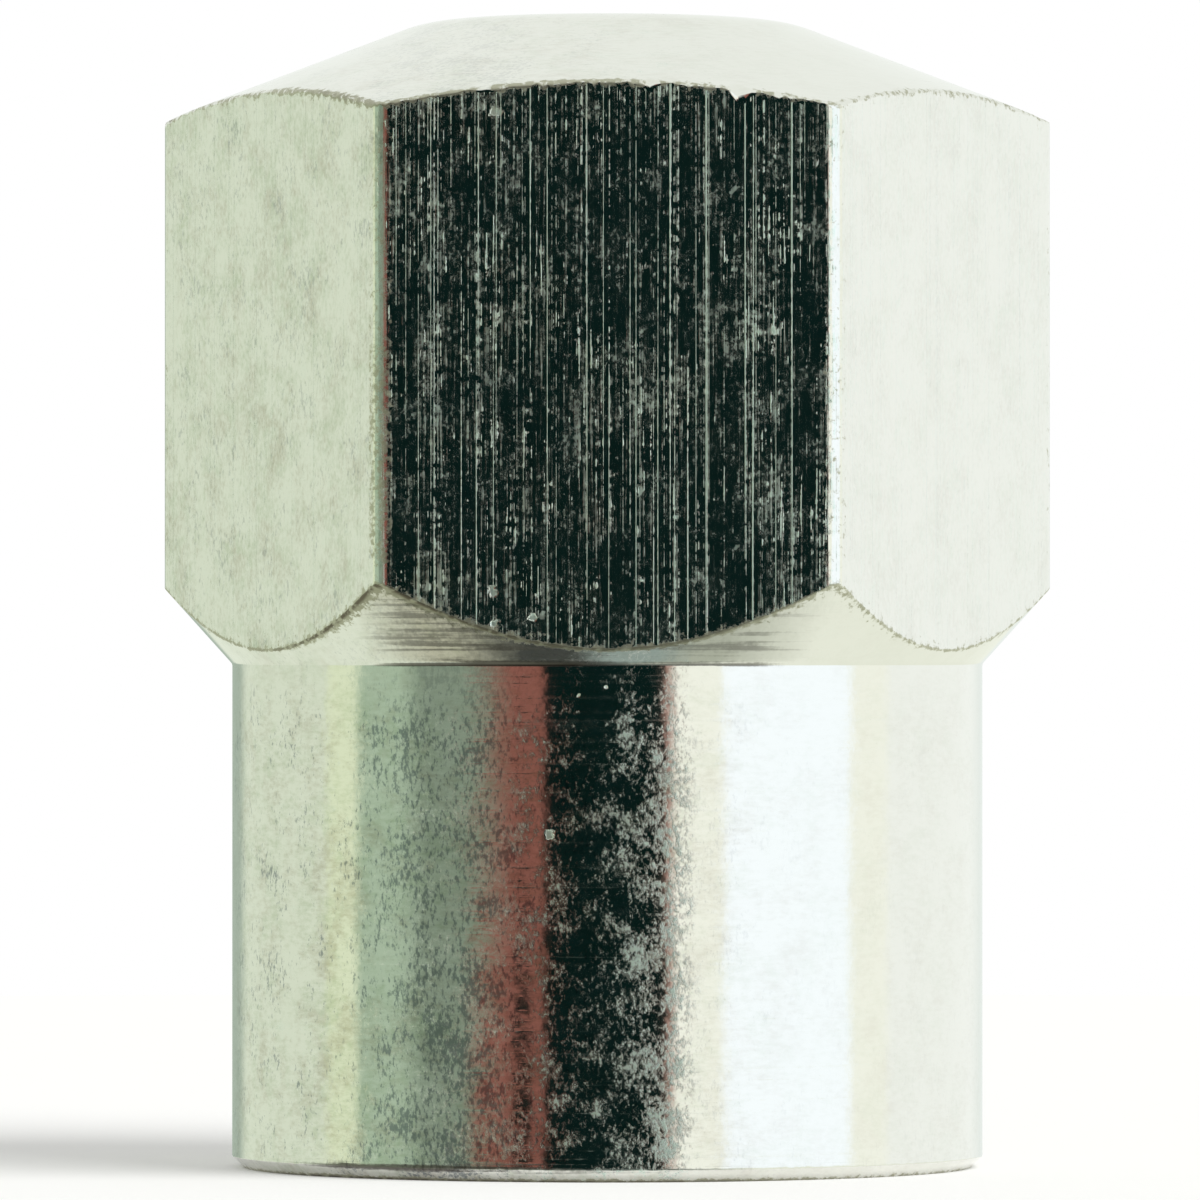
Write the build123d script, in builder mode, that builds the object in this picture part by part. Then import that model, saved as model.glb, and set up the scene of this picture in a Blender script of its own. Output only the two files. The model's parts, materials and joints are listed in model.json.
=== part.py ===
from build123d import *

import os
from math import cos, radians, tan

# Hexagonal metal cap for a tyre valve, with the rubber seal that it carries inside.
# Millimetres, +Z up. The cap stands on its open rim, and the origin is the rim's centre.
# A flat of the hexagon faces -Y, so two of its corners lie on the X axis.

# Hexagonal bar that the body is turned from
across_flats = 10.0
bar_corner_radius = 0.3

# Outside, as turned
overall_height = 14.8
top_face_diameter = 4.7
top_slope_angle = 21.0
top_blend_radius = 1.8
skirt_length = 6.5
skirt_relief = 0.15
shoulder_angle = 48.0
neck_radius = 0.25
rim_edge_break = 0.15

# Bore, from the mouth inwards
mouth_chamfer = 0.5
thread_minor_diameter = 7.0
thread_length = 7.5
seal_recess_depth = 0.45
seal_recess_height = 1.9
core_pocket_diameter = 4.0
core_pocket_depth = 0.7
drill_point_angle = 118.0

# Sealing washer
seal_thickness = 1.5
seal_hole_diameter = 4.2
seal_edge_radius = 0.15
seal_clearance = 0.05

# Radii and heights that follow from the sizes above
corner_reach = across_flats / 2 / cos(radians(30)) + bar_corner_radius
skirt_radius = across_flats / 2 - skirt_relief
top_face_radius = top_face_diameter / 2
shoulder_top = skirt_length + (corner_reach - skirt_radius) * tan(radians(shoulder_angle))
slope_foot = overall_height - (corner_reach - top_face_radius) * tan(radians(top_slope_angle))

thread_radius = thread_minor_diameter / 2
mouth_radius = thread_radius + mouth_chamfer
thread_end = mouth_chamfer + thread_length
recess_radius = thread_radius + seal_recess_depth
seal_seat = thread_end + seal_recess_height
pocket_radius = core_pocket_diameter / 2
pocket_end = seal_seat + core_pocket_depth
drill_tip = pocket_end + pocket_radius / tan(radians(drill_point_angle / 2))

# Body: a length of hexagonal bar, turned outside and then bored from the rim
with BuildPart() as cap_body:
    with BuildSketch() as bar_section:
        RegularPolygon(across_flats / 2, 6, major_radius=False)
        fillet(bar_section.vertices(), bar_corner_radius)
    extrude(amount=overall_height)

    # The sloped top and the shoulder are cones, which cross the flats in curved arcs
    with BuildSketch(Plane.XZ) as turned_outline:
        with BuildLine():
            Polyline(
                (0, 0),
                (skirt_radius - rim_edge_break, 0),
                (skirt_radius, rim_edge_break),
                (skirt_radius, skirt_length),
                (corner_reach, shoulder_top),
                (corner_reach, slope_foot),
                (top_face_radius, overall_height),
                (0, overall_height),
                close=True,
            )
        make_face()
        neck = turned_outline.vertices().sort_by_distance((skirt_radius, skirt_length))[0]
        fillet(neck, neck_radius)
        top_edge = turned_outline.vertices().sort_by_distance((top_face_radius, overall_height))[0]
        fillet(top_edge, top_blend_radius)
    revolve(axis=Axis.Z, mode=Mode.INTERSECT)

    # Thread bore at its minor diameter, the seal's recess, and a drilled pocket over the valve core
    with BuildSketch(Plane.XZ) as bore_outline:
        with BuildLine():
            Polyline(
                (0, 0),
                (mouth_radius, 0),
                (thread_radius, mouth_chamfer),
                (thread_radius, thread_end),
                (recess_radius, thread_end),
                (recess_radius, seal_seat),
                (pocket_radius, seal_seat),
                (pocket_radius, pocket_end),
                (0, drill_tip),
                close=True,
            )
        make_face()
    revolve(axis=Axis.Z, mode=Mode.SUBTRACT)
cap_body.part.label = "cap_body"

# Seal: a rubber ring that lies against the recess's end face, where the thread holds it captive
with BuildPart() as sealing_washer:
    with BuildSketch(Plane.XY.offset(seal_seat - seal_thickness)):
        Circle(recess_radius - seal_clearance)
        Circle(seal_hole_diameter / 2, mode=Mode.SUBTRACT)
    extrude(amount=seal_thickness)
    fillet(sealing_washer.edges().filter_by(GeomType.CIRCLE), seal_edge_radius)
sealing_washer.part.label = "sealing_washer"

os.makedirs("parts", exist_ok=True)
export_step(cap_body.part, "parts/cap_body.step")
export_step(sealing_washer.part, "parts/sealing_washer.step")
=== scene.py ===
import json
from math import cos, pi, radians, tan

import bmesh
import bpy
import numpy as np
from bpy.props import FloatProperty, FloatVectorProperty, PointerProperty
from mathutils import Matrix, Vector


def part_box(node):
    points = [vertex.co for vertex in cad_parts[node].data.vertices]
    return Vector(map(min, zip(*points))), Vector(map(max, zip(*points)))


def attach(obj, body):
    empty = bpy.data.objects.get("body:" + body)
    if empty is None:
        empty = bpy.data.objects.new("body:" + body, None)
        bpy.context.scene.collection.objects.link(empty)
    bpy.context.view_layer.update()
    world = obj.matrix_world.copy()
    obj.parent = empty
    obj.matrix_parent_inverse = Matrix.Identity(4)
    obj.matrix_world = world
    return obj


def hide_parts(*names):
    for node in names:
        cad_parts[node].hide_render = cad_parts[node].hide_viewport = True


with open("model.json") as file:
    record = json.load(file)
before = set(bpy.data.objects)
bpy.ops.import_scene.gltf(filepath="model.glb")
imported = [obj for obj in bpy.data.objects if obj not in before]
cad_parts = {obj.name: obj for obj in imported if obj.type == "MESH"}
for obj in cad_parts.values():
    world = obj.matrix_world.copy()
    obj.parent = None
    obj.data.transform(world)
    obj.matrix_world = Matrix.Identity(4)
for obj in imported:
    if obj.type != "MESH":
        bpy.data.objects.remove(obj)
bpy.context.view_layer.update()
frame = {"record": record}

bl_info = {
    "name": "Tyre Valve Cap",
    "version": (1, 0, 0),
    "blender": (4, 5, 0),
    "location": "View3D > Sidebar > Valve Cap",
    "description": "Makes a plated hexagonal tyre valve cap, its rubber seal and a studio to show them in",
    "category": "Mesh",
}

MM = 0.001
MICRON = 0.000001
BODY_LOW, BODY_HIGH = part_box("cap_body")
SEAL_LOW, SEAL_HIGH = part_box("sealing_washer")
STEM_THREAD = next(m for m in frame["record"]["mounts"] if m["name"] == "stem_thread")

# Faces of the cap by the way that they were made
TURNED, DRAWN, BORED = range(3)

# Sides of the hexagon, and mesh columns on each flat, on each rounded corner, and round the seal
SIDES = 6
FLAT_COLUMNS = 78
CORNER_COLUMNS = 10
SEAL_COLUMNS = 144

# Mesh rows of each outline: round its corners, and between one corner and the next
OUTSIDE_ROWS = (12, 7, 6, 8, 4, 4), (5, 14, 34, 5, 24, 1, 2)
MOUTH_ROWS = (4,), (1, 1)
INNER_ROWS = (4, 4, 4, 4), (1, 3, 3, 2, 3)
SEAL_ROWS = (7, 7, 3, 3, 3, 7, 4, 5, 4, 7), (3,) * 11

# Points nearer than the weld are joined, and edges shorter than the sliver are taken out
WELD = 0.2 * MICRON
SLIVER = 0.1 * MICRON

# Angle between two faces above which their edge is sharp
METAL_SHARP = radians(35)
RUBBER_SHARP = radians(40)

# Phase and depth of the thread's profile over one pitch, both as shares
THREAD_PROFILE = ((0.0, 0.0), (0.26, 0.0), (0.40, 0.5), (0.55, 1.0), (0.70, 1.0), (0.85, 0.5))

# Nicks in the front flat's upper edge: place along the edge, half width and depth, in millimetres.
# From the bright depth on, a nick has no worn edge left.
FRONT_NICKS = ((0.54, 0.09, 0.16), (1.67, 0.16, 0.32), (-1.55, 0.08, 0.08), (2.15, 0.08, 0.07))
BRIGHT_DEPTH = 0.06

# Small dents in the front: place across, height above the rim and radius, in millimetres.
# Their depth is in microns.
FRONT_DENTS = ((-0.73, 4.34, 0.075), (-1.44, 7.39, 0.08), (-1.42, 6.99, 0.07), (-0.94, 7.07, 0.06),
               (-1.4, 13.38, 0.09), (-0.36, 6.1, 0.03), (-0.02, 6.2, 0.03))
DENT_DEPTH = 8.0

# Wear of the edges, and soiling with painted shade on the front of the shoulder and the rim: places from left
# to right in millimetres, and shares
EDGE_WEAR = (-6.0, -4.6, -3.5, -2.0, 1.5, 3.0), (0.6, 0.7, 1.0, 0.9, 0.8, 0.6)
# Painted shade mixed with soiling: the front of the shoulder is darkened as a painted reflection of the
# shaded floor below it, and the rim most on its left, away from the key light
SHOULDER_SOIL_AND_SHADE = (-3.3, -2.6, -1.6, -0.4, 0.3, 1.0, 1.8, 2.8), (0.0, 0.85, 1.0, 1.0, 0.5, 0.7, 0.75, 0.0)
RIM_SOIL_AND_SHADE = (-4.3, -3.4, -1.2, 0.6, 2.5), (0.0, 0.85, 0.9, 0.35, 0.1)

# Share of that wear on the hexagon's upper half, beside its corners and on them
UPPER_WEAR = 0.75
CORNER_SIDE_WEAR = 0.55
CORNER_WEAR = 0.5

# Share of soiling and painted shade on the back of the shoulder and the rim, and at the shoulder's upper edge
BACK_SHOULDER_SOIL_AND_SHADE = 0.35
BACK_RIM_SOIL_AND_SHADE = 0.4
SHOULDER_EDGE_SOIL_AND_SHADE = 0.6

# How the wear fades in the mesh rows beside the hexagon's edges, on the flats and on the cones
FLAT_SPREAD = 0.65, 0.45, 0.3, 0.15
CONE_SPREAD = 0.65, 0.2

# Where the metal's finish changes, in millimetres. Each pair is where a change starts and where it is full.
# The front flat lies in depth, the skirt, the rim and the ring in height, and the others from left to right.
FRONT_FLAT = -4.94, -4.99
SKIRT = 6.6, 5.6
HANDLED_RIM = 6.3, 5.0
LIGHTER_RING = (6.54, 6.56), (6.67, 6.65)
STAINED_SIDE = 3.0, -1.5
HANDLED_SIDE = -1.0, 0.8
PITTED_PATCH = (-3.3, -2.4), (-0.7, -1.5)
FRONT_MIDDLE = (-1.3, -0.6), (1.3, 0.75)

# Share of the stains on the clean side, and of the soiling and painted shade in the lighter ring above the
# neck
LEAST_STAIN = 0.25
RING_SOIL_AND_SHADE = 0.6

# Roughness that dents, worn edges and the soiling with painted shade add to the metal, its highest roughness,
# and the dullness at which the plating has its rubbed colour
DENT_DULLNESS = 0.3
WEAR_DULLNESS = 0.35
SOIL_AND_SHADE_DULLNESS = 0.25
HIGHEST_ROUGHNESS = 0.7
RUBBED_DULLNESS = 0.3

# Finish of the turned, drawn and bored faces.
# turned: whether the tool lines run round the cap
# lines: stretch for each millimetre, how broken they are, the noise at which a line starts and is full,
#     its depth in microns and the roughness that it adds
# scuffs, rim_scuffs, patch_scuffs: how thick the scuffs are, and how much more at the rim and in the patch
# scuff_depth, ripple: height of the scuffs and of the plating's waves, in microns
# roughness, scuff_dullness, spot_dullness: roughness of clean plating, and what scuffs and spots add
# strokes: stretch of the stains for each millimetre
# stain, pits, patch_pits: how strong the stains and pits are, and how many more pits are in the patch
# elsewhere, top: share of the marks away from the front flat, and above the skirt
# sides: share of the scuffs left and right of the front's middle
FINISHES = {
    "turned_nickel": dict(
        turned=True, lines=[((0.15, 0.15, 16.0), 1.0, 0.52, 0.85, 0.6, 0.1)],
        scuffs=-0.39, rim_scuffs=0.085, patch_scuffs=0.06, scuff_depth=3.0, ripple=4.0,
        roughness=0.07, scuff_dullness=0.8, spot_dullness=0.0, strokes=(6.0, 6.0, 16.0),
        stain=0.9, pits=0.7, patch_pits=0.1, elsewhere=1.0, top=0.5, sides=(0.35, 0.06)),
    "drawn_nickel": dict(
        turned=False, lines=[((32.0, 32.0, 1.0), 1.0, 0.43, 0.93, 2.0, 0.36),
                             ((32.0, 32.0, 0.9), 1.0, 0.68, 0.8, 7.0, 0.55),
                             ((40.0, 40.0, 0.05), 0.4, 0.63, 0.7, 12.0, 0.65)],
        scuffs=-0.23, rim_scuffs=0.0, patch_scuffs=0.0, scuff_depth=0.8, ripple=1.0,
        roughness=0.08, scuff_dullness=0.4, spot_dullness=0.3, strokes=(18.0, 18.0, 12.0),
        stain=0.9, pits=0.35, patch_pits=0.0, elsewhere=0.12, top=1.0, sides=(1.0, 1.0)),
    "bored_nickel": dict(
        turned=True, lines=[((0.3, 0.3, 20.0), 1.0, 0.4, 0.7, 2.0, 0.1)],
        scuffs=-0.1, rim_scuffs=0.0, patch_scuffs=0.0, scuff_depth=1.0, ripple=1.0,
        roughness=0.22, scuff_dullness=0.3, spot_dullness=0.2, strokes=(2.5, 2.5, 14.0),
        stain=1.0, pits=0.5, patch_pits=0.0, elsewhere=1.0, top=1.0, sides=(1.0, 1.0)),
}

# Rubber: its roughness, what the bloom adds to it, and the height of its grain
RUBBER_ROUGHNESS = 0.62
BLOOM_DULLNESS = 0.2
RUBBER_GRAIN = 6 * MICRON

# Where the studio's surround changes, in degrees. Each pair is where a change starts and where it is full.
# Headings run from the camera to the right, and rises up from the horizon.
WAIST_HEADING = (-58, -38), (-20, -27)
WAIST_UPPER_RISE = (-0.4, -0.05), (0.5, 0.1)
WAIST_LOWER_RISE = -0.9, -1.9
APRON_HEADING = 45, 18
APRON_RISE = -30.0, -18.0
GROUND_RISE = -5.0, -9.0

# How much wider the warm card is below its waist, in degrees, and the share of that above it
WARM_CARD_WIDENING = 10
WIDENING_ABOVE = 0.6

# The ceiling's edge, where it starts and where it is full: its rise at the sides, how much higher it is
# in front of the cap, and how much lower behind it
CEILING_START = 22.0, 18.0, 21.5
CEILING_FULL = 40.0, 18.0, 35.0

# Width of the ground's bands, for each unit of depth below the cap
GROUND_WIDTH = 2.5


def length(name, description, default):
    """A size in metres for a property group."""
    return FloatProperty(name=name, description=description, default=default, min=0.0,
                         precision=6, subtype="DISTANCE", unit="LENGTH")


def angle(name, description, default):
    """An angle for a property group, given in degrees."""
    return FloatProperty(name=name, description=description, default=radians(default),
                         subtype="ANGLE", unit="ROTATION")


def plain(name, description, default):
    """A plain number, not below 0, for a property group."""
    return FloatProperty(name=name, description=description, default=default, min=0.0)


def colour(name, description, default):
    """A linear colour for a property group."""
    return FloatVectorProperty(name=name, description=description, default=default, size=3,
                               min=0.0, soft_max=1.0, subtype="COLOR")


class ValveCapBody(bpy.types.PropertyGroup):
    """Sizes and finish of the plated body."""

    across_flats: length("Across Flats", "Width of the hexagonal bar", BODY_HIGH.y - BODY_LOW.y)
    corner_radius: length("Corner Radius", "Rounding of the bar's corners", 0.3 * MM)
    overall_height: length("Height", "From the open rim to the top", BODY_HIGH.z - BODY_LOW.z)
    top_diameter: length("Top Diameter", "Flat of the sloped top", 4.7 * MM)
    top_slope: angle("Top Slope", "Fall of the coned top", 21.0)
    top_blend: length("Top Blend", "Rounding between the top and its slope", 1.8 * MM)
    skirt_diameter: length("Skirt Diameter", "Round part below the hexagon", 9.7 * MM)
    skirt_length: length("Skirt Length", "From the rim to the neck", 6.5 * MM)
    shoulder_angle: angle("Shoulder Angle", "Rise of the cone between skirt and hexagon", 48.0)
    neck_radius: length("Neck Radius", "Fillet between skirt and shoulder", 0.08 * MM)
    rim_break: length("Rim Break", "Chamfer outside the rim", 0.15 * MM)
    edge_radius: length("Edge Radius", "Mean rounding of the worn edges", 0.035 * MM)
    mouth_chamfer: length("Mouth Chamfer", "Countersink in front of the thread", 0.5 * MM)
    thread_diameter: length("Thread Diameter", "Minor diameter of the thread",
                            2 * STEM_THREAD["dims"]["r_mm"] * MM)
    thread_length: length("Thread Length", "Length of the thread",
                          STEM_THREAD["dims"]["length_mm"] * MM)
    thread_pitch: length("Thread Pitch", "One of 32 turns in an inch", 25.4 / 32 * MM)
    thread_depth: length("Thread Depth", "From the minor diameter to the root", 0.4 * MM)
    recess_clearance: length("Recess Clearance", "Room round the seal", 0.05 * MM)
    pocket_diameter: length("Pocket Diameter", "Drilled pocket over the valve core", 4.0 * MM)
    pocket_depth: length("Pocket Depth", "Pocket's straight wall", 0.7 * MM)
    drill_point: angle("Drill Point", "Cone angle at the pocket's end", 118.0)
    plating: colour("Plating", "Bright nickel", (0.84, 0.84, 0.79))
    rubbed: colour("Rubbed", "Nickel where it is scuffed", (0.71, 0.84, 0.77))
    stain: colour("Stain", "Nickel under a thin dull film", (0.58, 0.62, 0.51))
    tarnish: colour("Tarnish", "Nickel under a thin brown film", (0.56, 0.535, 0.455))
    pits: colour("Pits", "Dark specks in the plating", (0.15, 0.18, 0.21))
    edge_wear: colour("Edge Wear", "Rubbed edges, where the plating is thin", (0.48, 0.475, 0.37))
    edge_grit: colour("Edge Grit", "Dark specks in the rubbed edges", (0.15, 0.13, 0.095))
    # Dark colour for soiling, and also painted shade in the neck's crease and on the shoulder and rim
    soil_and_shade: colour("Soil And Shade", "Dirt in the tool lines and along the rim", (0.06, 0.05, 0.04))


class ValveCapSeal(bpy.types.PropertyGroup):
    """Sizes and finish of the rubber washer."""

    diameter: length("Diameter", "Outside of the washer", SEAL_HIGH.x - SEAL_LOW.x)
    thickness: length("Thickness", "Height of the washer", SEAL_HIGH.z - SEAL_LOW.z)
    hole_diameter: length("Hole Diameter", "Hole over the valve core", 4.2 * MM)
    edge_radius: length("Edge Radius", "Rounding of the moulded edges", 0.15 * MM)
    moulding_line: length("Moulding Line", "Height of the line round the washer", 0.02 * MM)
    dent_depth: length("Dent Depth", "Dent that the stem has pressed", 0.03 * MM)
    dent_width: length("Dent Width", "Width of that dent", 0.6 * MM)
    stem_place: plain("Stem Place", "Where the stem presses: 0 at the hole, 1 outside", 0.45)
    rubber: colour("Rubber", "Black rubber", (0.02, 0.02, 0.021))
    bloom: colour("Bloom", "Grey film on old rubber", (0.09, 0.088, 0.082))


class ValveCapStage(bpy.types.PropertyGroup):
    """Camera, floor and the cards that the metal reflects."""

    camera_distance: length("Camera Distance", "From the cap's axis", 144.8 * MM)
    camera_height: length("Camera Height", "Above the floor", 6.24 * MM)
    camera_offset: length("Camera Offset", "Left of the cap's axis", 0.095 * MM)
    camera_pitch: angle("Camera Pitch", "Upward tilt of the camera", 0.43)
    field_width: length("Field Width", "Width of the picture at the cap's axis", 15.53 * MM)
    floor_radius: length("Floor Radius", "Round pale table", 80 * MM)
    mirrored_radius: length("Mirrored Radius", "Part of the table that the metal reflects", 5.1 * MM)
    floor_tone: colour("Floor", "Pale table top", (0.86, 0.86, 0.84))
    floor_glow: plain("Floor Glow", "Light that the table adds where it is seen", 0.15)
    key_strength: plain("Key Strength", "Soft light from the right", 1.9)
    key_width: angle("Key Width", "Spread of the soft light", 40.0)
    key_side: FloatVectorProperty(name="Key Side", description="Direction that the light comes from",
                                  default=(80.0, -60.0, 110.0), subtype="XYZ")
    fill: plain("Fill", "Soft light from all sides", 0.55)
    black_card: colour("Black Card", "Card round the lens", (0.003, 0.0125, 0.0112))
    warm_card: colour("Warm Card", "Red-brown card beside the lens", (0.28, 0.11, 0.087))
    rose_edge: colour("Rose Edge", "Thin edge of the black card", (0.42, 0.24, 0.2))
    dull_card: colour("Dull Card", "Grey-brown card", (0.252, 0.318, 0.247))
    green_card: colour("Green Card", "Grey-green card", (0.445, 0.565, 0.43))
    yellow_card: colour("Yellow Card", "Narrow straw-coloured card", (0.8, 0.88, 0.65))
    left_wall: colour("Left Wall", "Pale green-grey wall", (0.76, 0.83, 0.69))
    softbox: colour("Softbox", "White lamp on the right", (1.1, 1.17, 1.25))
    cream_card: colour("Cream Card", "Edge of the softbox", (1.03, 1.05, 0.97))
    right_wall: colour("Right Wall", "Off-white wall", (1.01, 1.04, 1.02))
    rear_card: colour("Rear Card", "Grey card behind the cap, on the left", (0.42, 0.5, 0.42))
    far_card: colour("Far Card", "Pale card behind the cap, on the right", (0.86, 0.91, 0.88))
    ceiling: colour("Ceiling", "Pale light overhead", (0.92, 0.95, 0.91))
    left_ground: colour("Left Ground", "Ground below the table, on the left", (0.82, 0.88, 0.75))
    tan_ground: colour("Tan Ground", "Ground below the table, nearer to the lens", (0.54, 0.54, 0.42))
    dark_ground: colour("Dark Ground", "Ground just left of the lens", (0.06, 0.065, 0.06))
    blue_ground: colour("Blue Ground", "Ground right below the lens", (0.31, 0.38, 0.355))
    grey_ground: colour("Grey Ground", "Ground just right of the lens", (0.46, 0.49, 0.41))
    right_ground: colour("Right Ground", "Ground below the table, on the right", (0.93, 0.96, 0.86))
    apron: colour("Apron", "Dark cloth in front of the cap", (0.16, 0.19, 0.175))


class NodeDesk:
    """Adds shader nodes to one tree, and sets or links their inputs as they are made."""

    def __init__(self, tree):
        self.tree = tree

    def feed(self, socket, value):
        if isinstance(value, bpy.types.NodeSocket):
            self.tree.links.new(value, socket)
        else:
            socket.default_value = value

    def add(self, kind, inputs=(), **settings):
        node = self.tree.nodes.new("ShaderNode" + kind)
        for name, value in settings.items():
            setattr(node, name, value)
        for key, value in dict(inputs).items():
            self.feed(node.inputs[key], value)
        return node

    def math(self, operation, *values):
        return self.add("Math", enumerate(values), operation=operation).outputs["Value"]

    def vector(self, operation, *values):
        return self.add("VectorMath", enumerate(values), operation=operation).outputs["Vector"]

    def measure(self, operation, *values):
        return self.add("VectorMath", enumerate(values), operation=operation).outputs["Value"]

    def attribute(self, name):
        return self.add("Attribute", attribute_name=name).outputs["Fac"]

    def ease(self, value, start, full):
        """0 up to the start, 1 from the full value on, and smooth between them, in either direction."""
        inputs = {"Value": value, "From Min": start, "From Max": full}
        return self.add("MapRange", inputs, interpolation_type="SMOOTHSTEP").outputs["Result"]

    def between(self, value, rise, fall):
        """1 between a rise and a fall, each with its start and full value, and 0 outside them."""
        return self.math("MULTIPLY", self.ease(value, *rise), self.ease(value, *fall))

    def blend(self, share, first, last):
        """The first number at share 0, the last one at share 1."""
        return self.math("MULTIPLY_ADD", share, last - first, first)

    def total(self, start, *parts):
        """The start plus each part, which is a value and how much of it counts."""
        for value, share in parts:
            start = self.math("MULTIPLY_ADD", value, share, start)
        return start

    def slant(self, place, lean, turn, stretch):
        """The place turned by two angles in degrees and stretched, for marks that lie at a slant."""
        inputs = {"Vector": place, "Rotation": (0.0, radians(lean), radians(turn)), "Scale": stretch}
        return self.add("Mapping", inputs).outputs["Vector"]

    def noise(self, vector, scale=1.0, detail=2.0, roughness=0.5):
        inputs = {"Vector": vector, "Scale": scale, "Detail": detail, "Roughness": roughness}
        return self.add("TexNoise", inputs).outputs["Fac"]

    def mix(self, share, first, second):
        """The first colour at share 0, the second one at share 1."""
        node = self.add("Mix", {0: share}, data_type="RGBA")
        for socket, tone in ((node.inputs[6], first), (node.inputs[7], second)):
            linked = isinstance(tone, bpy.types.NodeSocket)
            self.feed(socket, tone if linked else (*tone, 1))
        return node.outputs[2]

    def group(self, tree, **inputs):
        node = self.tree.nodes.new("ShaderNodeGroup")
        node.node_tree = tree
        for name, value in inputs.items():
            self.feed(node.inputs[name], value)
        return node.outputs


def effect(name, inputs, outputs):
    """A new shader node group: its desk, its inputs by name, and the node that takes its outputs."""
    tree = bpy.data.node_groups.new(name, "ShaderNodeTree")
    for label, kind in inputs.items():
        tree.interface.new_socket(label, in_out="INPUT", socket_type="NodeSocket" + kind)
    for label in outputs:
        tree.interface.new_socket(label, in_out="OUTPUT", socket_type="NodeSocketFloat")
    start = tree.nodes.new("NodeGroupInput")
    end = tree.nodes.new("NodeGroupOutput")
    return NodeDesk(tree), start.outputs, end


def shared(name, build):
    """A node group that is built once and then used by every material."""
    return bpy.data.node_groups.get(name) or build(name)


def line_breaks(name):
    """Specks and patches that break up tool lines, round 0."""
    desk, given, end = effect(name, {"Place": "Vector"}, ["Breaks"])
    specks = desk.noise(given["Place"], scale=10.0)
    patches = desk.noise(given["Place"], scale=1.3, detail=3.0, roughness=0.6)
    breaks = desk.total(0.0, (desk.math("SUBTRACT", specks, 0.5), 0.5),
                        (desk.math("SUBTRACT", patches, 0.5), 0.3))
    desk.feed(end.inputs["Breaks"], breaks)
    return desk.tree


def line_grain(name):
    """Tool lines: noise stretched along the way that the tool went, broken up and denser in some bands."""
    desk, given, end = effect(
        name, {"Place": "Vector", "Stretch": "Vector", "Breaks": "Float", "Broken": "Float",
               "Start": "Float", "Full": "Float"}, ["Lines"])
    stretched = desk.vector("MULTIPLY", given["Place"], given["Stretch"])
    lines = desk.noise(stretched, roughness=0.55)
    bands = desk.math("SUBTRACT", desk.noise(stretched, scale=0.17, detail=1.0), 0.5)
    breaks = desk.total(given["Breaks"], (bands, 0.25))
    lines = desk.total(lines, (breaks, given["Broken"]))
    desk.feed(end.inputs["Lines"], desk.ease(lines, given["Start"], given["Full"]))
    return desk.tree


def handling_marks(name):
    """Fine slanting scuffs in loose patches, thicker with the amount, and small dull spots."""
    desk, given, end = effect(name, {"Place": "Vector", "Amount": "Float"}, ["Scuffs", "Spots"])
    slanted = desk.slant(given["Place"], lean=40, turn=25, stretch=(18.0, 18.0, 12.0))
    specks = desk.noise(slanted, detail=5.0, roughness=0.75)
    patches = desk.noise(given["Place"], scale=2.3, detail=4.0, roughness=0.65)
    scuffs = desk.total(given["Amount"], (specks, 1.3), (patches, 0.95))
    desk.feed(end.inputs["Scuffs"], desk.ease(scuffs, start=0.84, full=1.46))
    spots = desk.noise(given["Place"], scale=4.0, detail=3.0, roughness=0.6)
    desk.feed(end.inputs["Spots"], desk.ease(spots, start=0.64, full=0.74))
    return desk.tree


def front_dents(name):
    """Small ragged dents in the front of the cap, deepest in their middles."""
    desk, given, end = effect(name, {"Place": "Vector"}, ["Depth"])
    ragged_share = 2.0
    deepest_share = 0.3
    level = desk.vector("MULTIPLY", given["Place"], (1.0, 0.0, 1.0))
    ragged = desk.math("SUBTRACT", desk.noise(given["Place"], scale=14.0), 0.5)
    depth = 0.0
    for across, up, radius in FRONT_DENTS:
        away = desk.measure("DISTANCE", level, (across, 0.0, up))
        away = desk.total(away, (ragged, ragged_share * radius))
        depth = desk.math("MAXIMUM", desk.ease(away, radius, deepest_share * radius), depth)
    backward = desk.add("SeparateXYZ", {0: given["Place"]}).outputs[1]
    in_front = desk.math("LESS_THAN", backward, 0.0)
    desk.feed(end.inputs["Depth"], desk.math("MULTIPLY", depth, in_front))
    return desk.tree


def plating_stains(name):
    """Soft cloudy stains of two tones in the plating and small dark pits, thicker on one side."""
    desk, given, end = effect(
        name, {"Place": "Vector", "Strokes": "Vector", "Side": "Float", "Pitting": "Float"},
        ["Stain", "Tarnish", "Pits"])
    clouds = desk.noise(given["Place"], scale=1.3, detail=6.0, roughness=0.72)
    strokes = desk.noise(given["Strokes"], detail=4.0, roughness=0.65)
    clouds = desk.ease(desk.total(clouds, (strokes, 0.7)), start=0.7, full=1.15)
    desk.feed(end.inputs["Stain"], desk.math("MULTIPLY", clouds, given["Side"]))
    tarnish = desk.noise(given["Place"], scale=2.7, detail=4.0)
    desk.feed(end.inputs["Tarnish"], desk.ease(tarnish, start=0.42, full=0.6))
    slanted = desk.slant(given["Place"], lean=50, turn=20, stretch=(19.0, 19.0, 10.0))
    pits = desk.noise(slanted, detail=4.0, roughness=0.7)
    groups = desk.noise(given["Place"], scale=1.9)
    pits = desk.math("ADD", desk.total(pits, (groups, 0.5)), given["Pitting"])
    pits = desk.ease(pits, start=0.81, full=0.97)
    desk.feed(end.inputs["Pits"], desk.math("MULTIPLY", pits, desk.math("POWER", given["Side"], 2.0)))
    return desk.tree


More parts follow.
